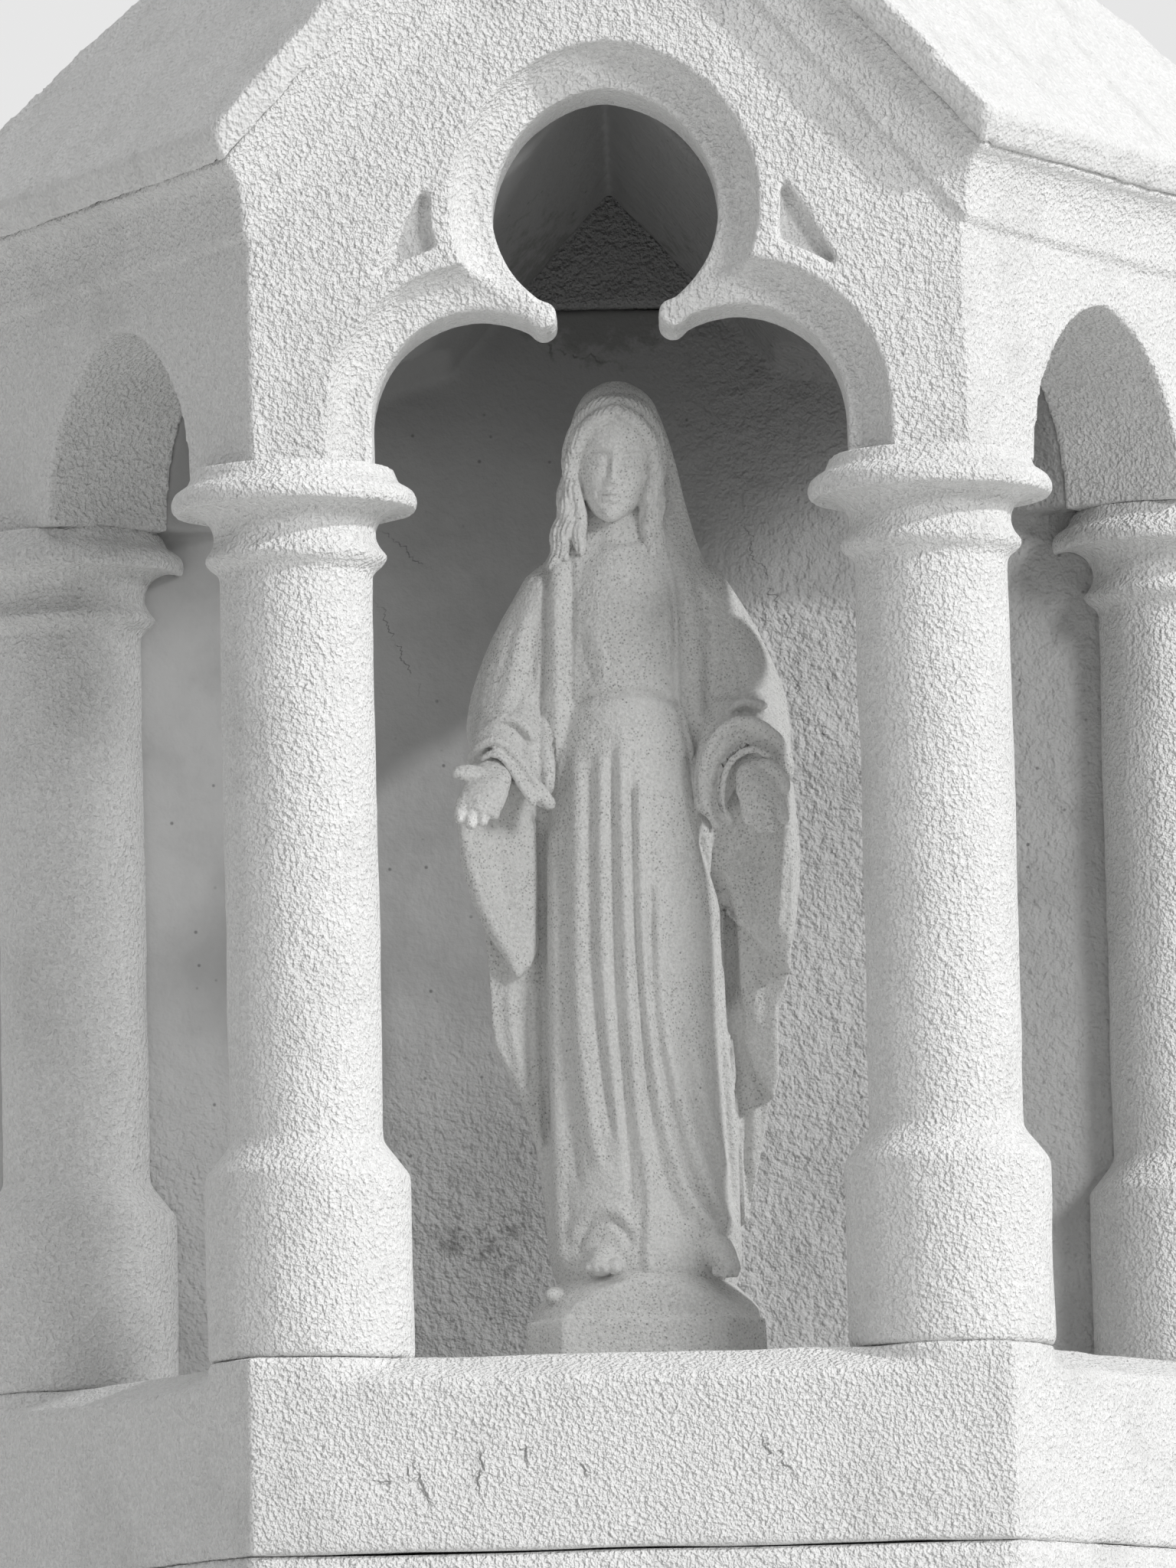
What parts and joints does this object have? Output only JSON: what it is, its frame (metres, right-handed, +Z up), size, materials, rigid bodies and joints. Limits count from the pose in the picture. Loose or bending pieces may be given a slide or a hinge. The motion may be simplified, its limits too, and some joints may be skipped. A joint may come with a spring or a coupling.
{
  "type": "wayside shrine",
  "caption": "Rendered masonry pillar shrine with an open arcaded niche, trefoil front gable, round columns, pitched roof and a standing cast-stone figure.",
  "frame": {"origin": "middle of the foundation step's underside, at ground level", "axes": "+Z up, the trefoil front faces -Y, +X to the right of someone who faces the front"},
  "size_m": [0.9554, 0.4548, 2.8582],
  "materials": {
    "white_render": "limewashed rough-cast render, matt",
    "niche_render": "coarser weathered render with hairline cracks, matt",
    "weathered_slab": "limewashed slab with weather streaks, matt",
    "cast_stone": "speckled cast stone, matt",
    "foundation_stone": "plain stone step, matt"
  },
  "bodies": {
    "root": {"foundation_step": "foundation_stone", "base_plinth": "white_render", "base_weathering": "white_render", "pillar_course_lower": "white_render", "pillar_course_middle": "white_render", "pillar_course_upper": "white_render", "sill_block": "white_render", "front_left_column_base": "white_render", "front_left_column_shaft": "white_render", "front_left_capital": "white_render", "front_right_column_base": "white_render", "front_right_column_shaft": "white_render", "front_right_capital": "white_render", "side_left_column_base": "white_render", "side_left_column_shaft": "white_render", "side_left_capital": "white_render", "side_right_column_base": "white_render", "side_right_column_shaft": "white_render", "side_right_capital": "white_render", "niche_back_wall": "niche_render", "gable_front": "white_render", "arch_panel_left": "white_render", "arch_panel_right": "white_render", "ceiling_block": "niche_render", "gable_cornice": "white_render", "eave_cornice_left": "white_render", "eave_cornice_right": "white_render", "eave_cornice_back": "white_render", "roof_slab_left": "weathered_slab", "roof_slab_right": "weathered_slab", "roof_slab_back": "weathered_slab", "finial_base": "white_render", "cross": "white_render", "figure": "cast_stone", "figure_globe": "cast_stone", "figure_slab": "cast_stone"}
  },
  "joints": []
}
